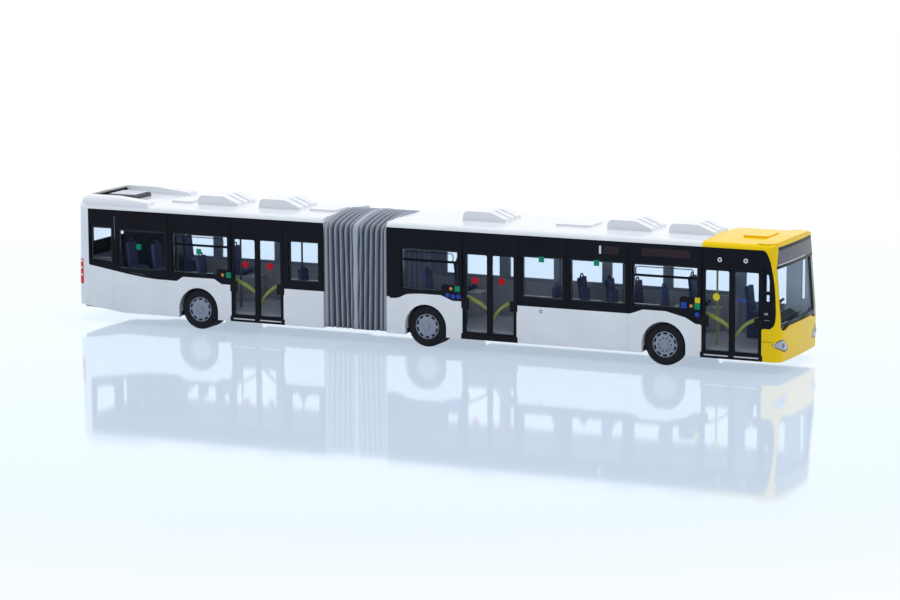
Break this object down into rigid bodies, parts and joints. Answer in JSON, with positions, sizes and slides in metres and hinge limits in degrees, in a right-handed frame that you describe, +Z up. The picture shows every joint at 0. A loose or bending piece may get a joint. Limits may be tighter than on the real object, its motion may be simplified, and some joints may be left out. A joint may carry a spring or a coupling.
{
  "type": "articulated city bus scale model",
  "caption": "Scale model of a low-floor articulated city bus: two hollow body shells on floor plates, joined by a pivot under a folded bellows, with free-turning wheel sets.",
  "frame": {"origin": "on the road plane under the middle of the overall length and width", "axes": "+X forward along the straight vehicle, +Y to its left, +Z up"},
  "size_m": [0.2082, 0.0294, 0.0358],
  "materials": {
    "white_plastic": "gloss",
    "yellow_plastic": "gloss",
    "black_print": "gloss",
    "clear_plastic": "clear",
    "black_plastic": "satin",
    "grey_plastic": "matte",
    "blue_plastic": "matte",
    "rail_plastic": "gloss",
    "bellows_plastic": "matte",
    "lamp_clear": "gloss",
    "lamp_red": "gloss",
    "tyre": "matte",
    "rim": "satin",
    "steel": "brushed"
  },
  "bodies": {
    "front_section": {"front_body": "white_plastic", "nose": "yellow_plastic", "windscreen": "clear_plastic", "destination_display": "black_print", "headlamps": "lamp_clear", "front_band_right": "black_print", "front_band_left": "black_print", "front_panes_right": "clear_plastic", "front_panes_left": "clear_plastic", "front_door": "black_print", "front_door_panes": "clear_plastic", "middle_door": "black_print", "middle_door_panes": "clear_plastic", "front_chassis": "black_plastic", "front_floor": "grey_plastic", "front_seats": "blue_plastic", "driver_seat": "blue_plastic", "dashboard": "black_plastic", "steering_wheel": "black_plastic", "front_rails": "rail_plastic", "front_grab_handles": "rail_plastic", "front_pods": "white_plastic", "front_hatch": "white_plastic", "nose_hatch": "yellow_plastic", "bellows": "bellows_plastic"},
    "rear_section": {"rear_body": "white_plastic", "rear_band_right": "black_print", "rear_band_left": "black_print", "rear_panes_right": "clear_plastic", "rear_panes_left": "clear_plastic", "rear_door": "black_print", "rear_door_panes": "clear_plastic", "rear_window": "clear_plastic", "engine_grille": "black_plastic", "tail_lamps": "lamp_red", "rear_chassis": "black_plastic", "rear_floor": "grey_plastic", "engine_tower": "black_plastic", "rear_seats": "blue_plastic", "rear_rails": "rail_plastic", "rear_grab_handles": "rail_plastic", "rear_pods": "white_plastic", "rear_hatches": "white_plastic", "rear_cowl": "white_plastic", "cowl_box": "grey_plastic", "cowl_grille": "black_plastic"},
    "front_wheels": {"front_axle_pin": "steel", "front_tyres": "tyre", "front_rims": "rim"},
    "middle_wheels": {"middle_axle_pin": "steel", "middle_tyres": "tyre", "middle_rims": "rim"},
    "rear_wheels": {"rear_axle_pin": "steel", "rear_tyres": "tyre", "rear_rims": "rim"}
  },
  "joints": [
    {"name": "articulation", "type": "hinge", "parent": "front_section", "child": "rear_section", "pos_m": [-0.0168, 0, 0.004], "axis": [0, 0, 1], "range_deg": [-30, 30], "deforming": ["bellows"]},
    {"name": "front_wheel_spin", "type": "hinge", "parent": "front_section", "child": "front_wheels", "pos_m": [0.07195, 0, 0.0055], "axis": [0, 1, 0], "continuous": true},
    {"name": "middle_wheel_spin", "type": "hinge", "parent": "front_section", "child": "middle_wheels", "pos_m": [0.00415, 0, 0.0055], "axis": [0, 1, 0], "continuous": true},
    {"name": "rear_wheel_spin", "type": "hinge", "parent": "rear_section", "child": "rear_wheels", "pos_m": [-0.06475, 0, 0.0055], "axis": [0, 1, 0], "continuous": true}
  ]
}
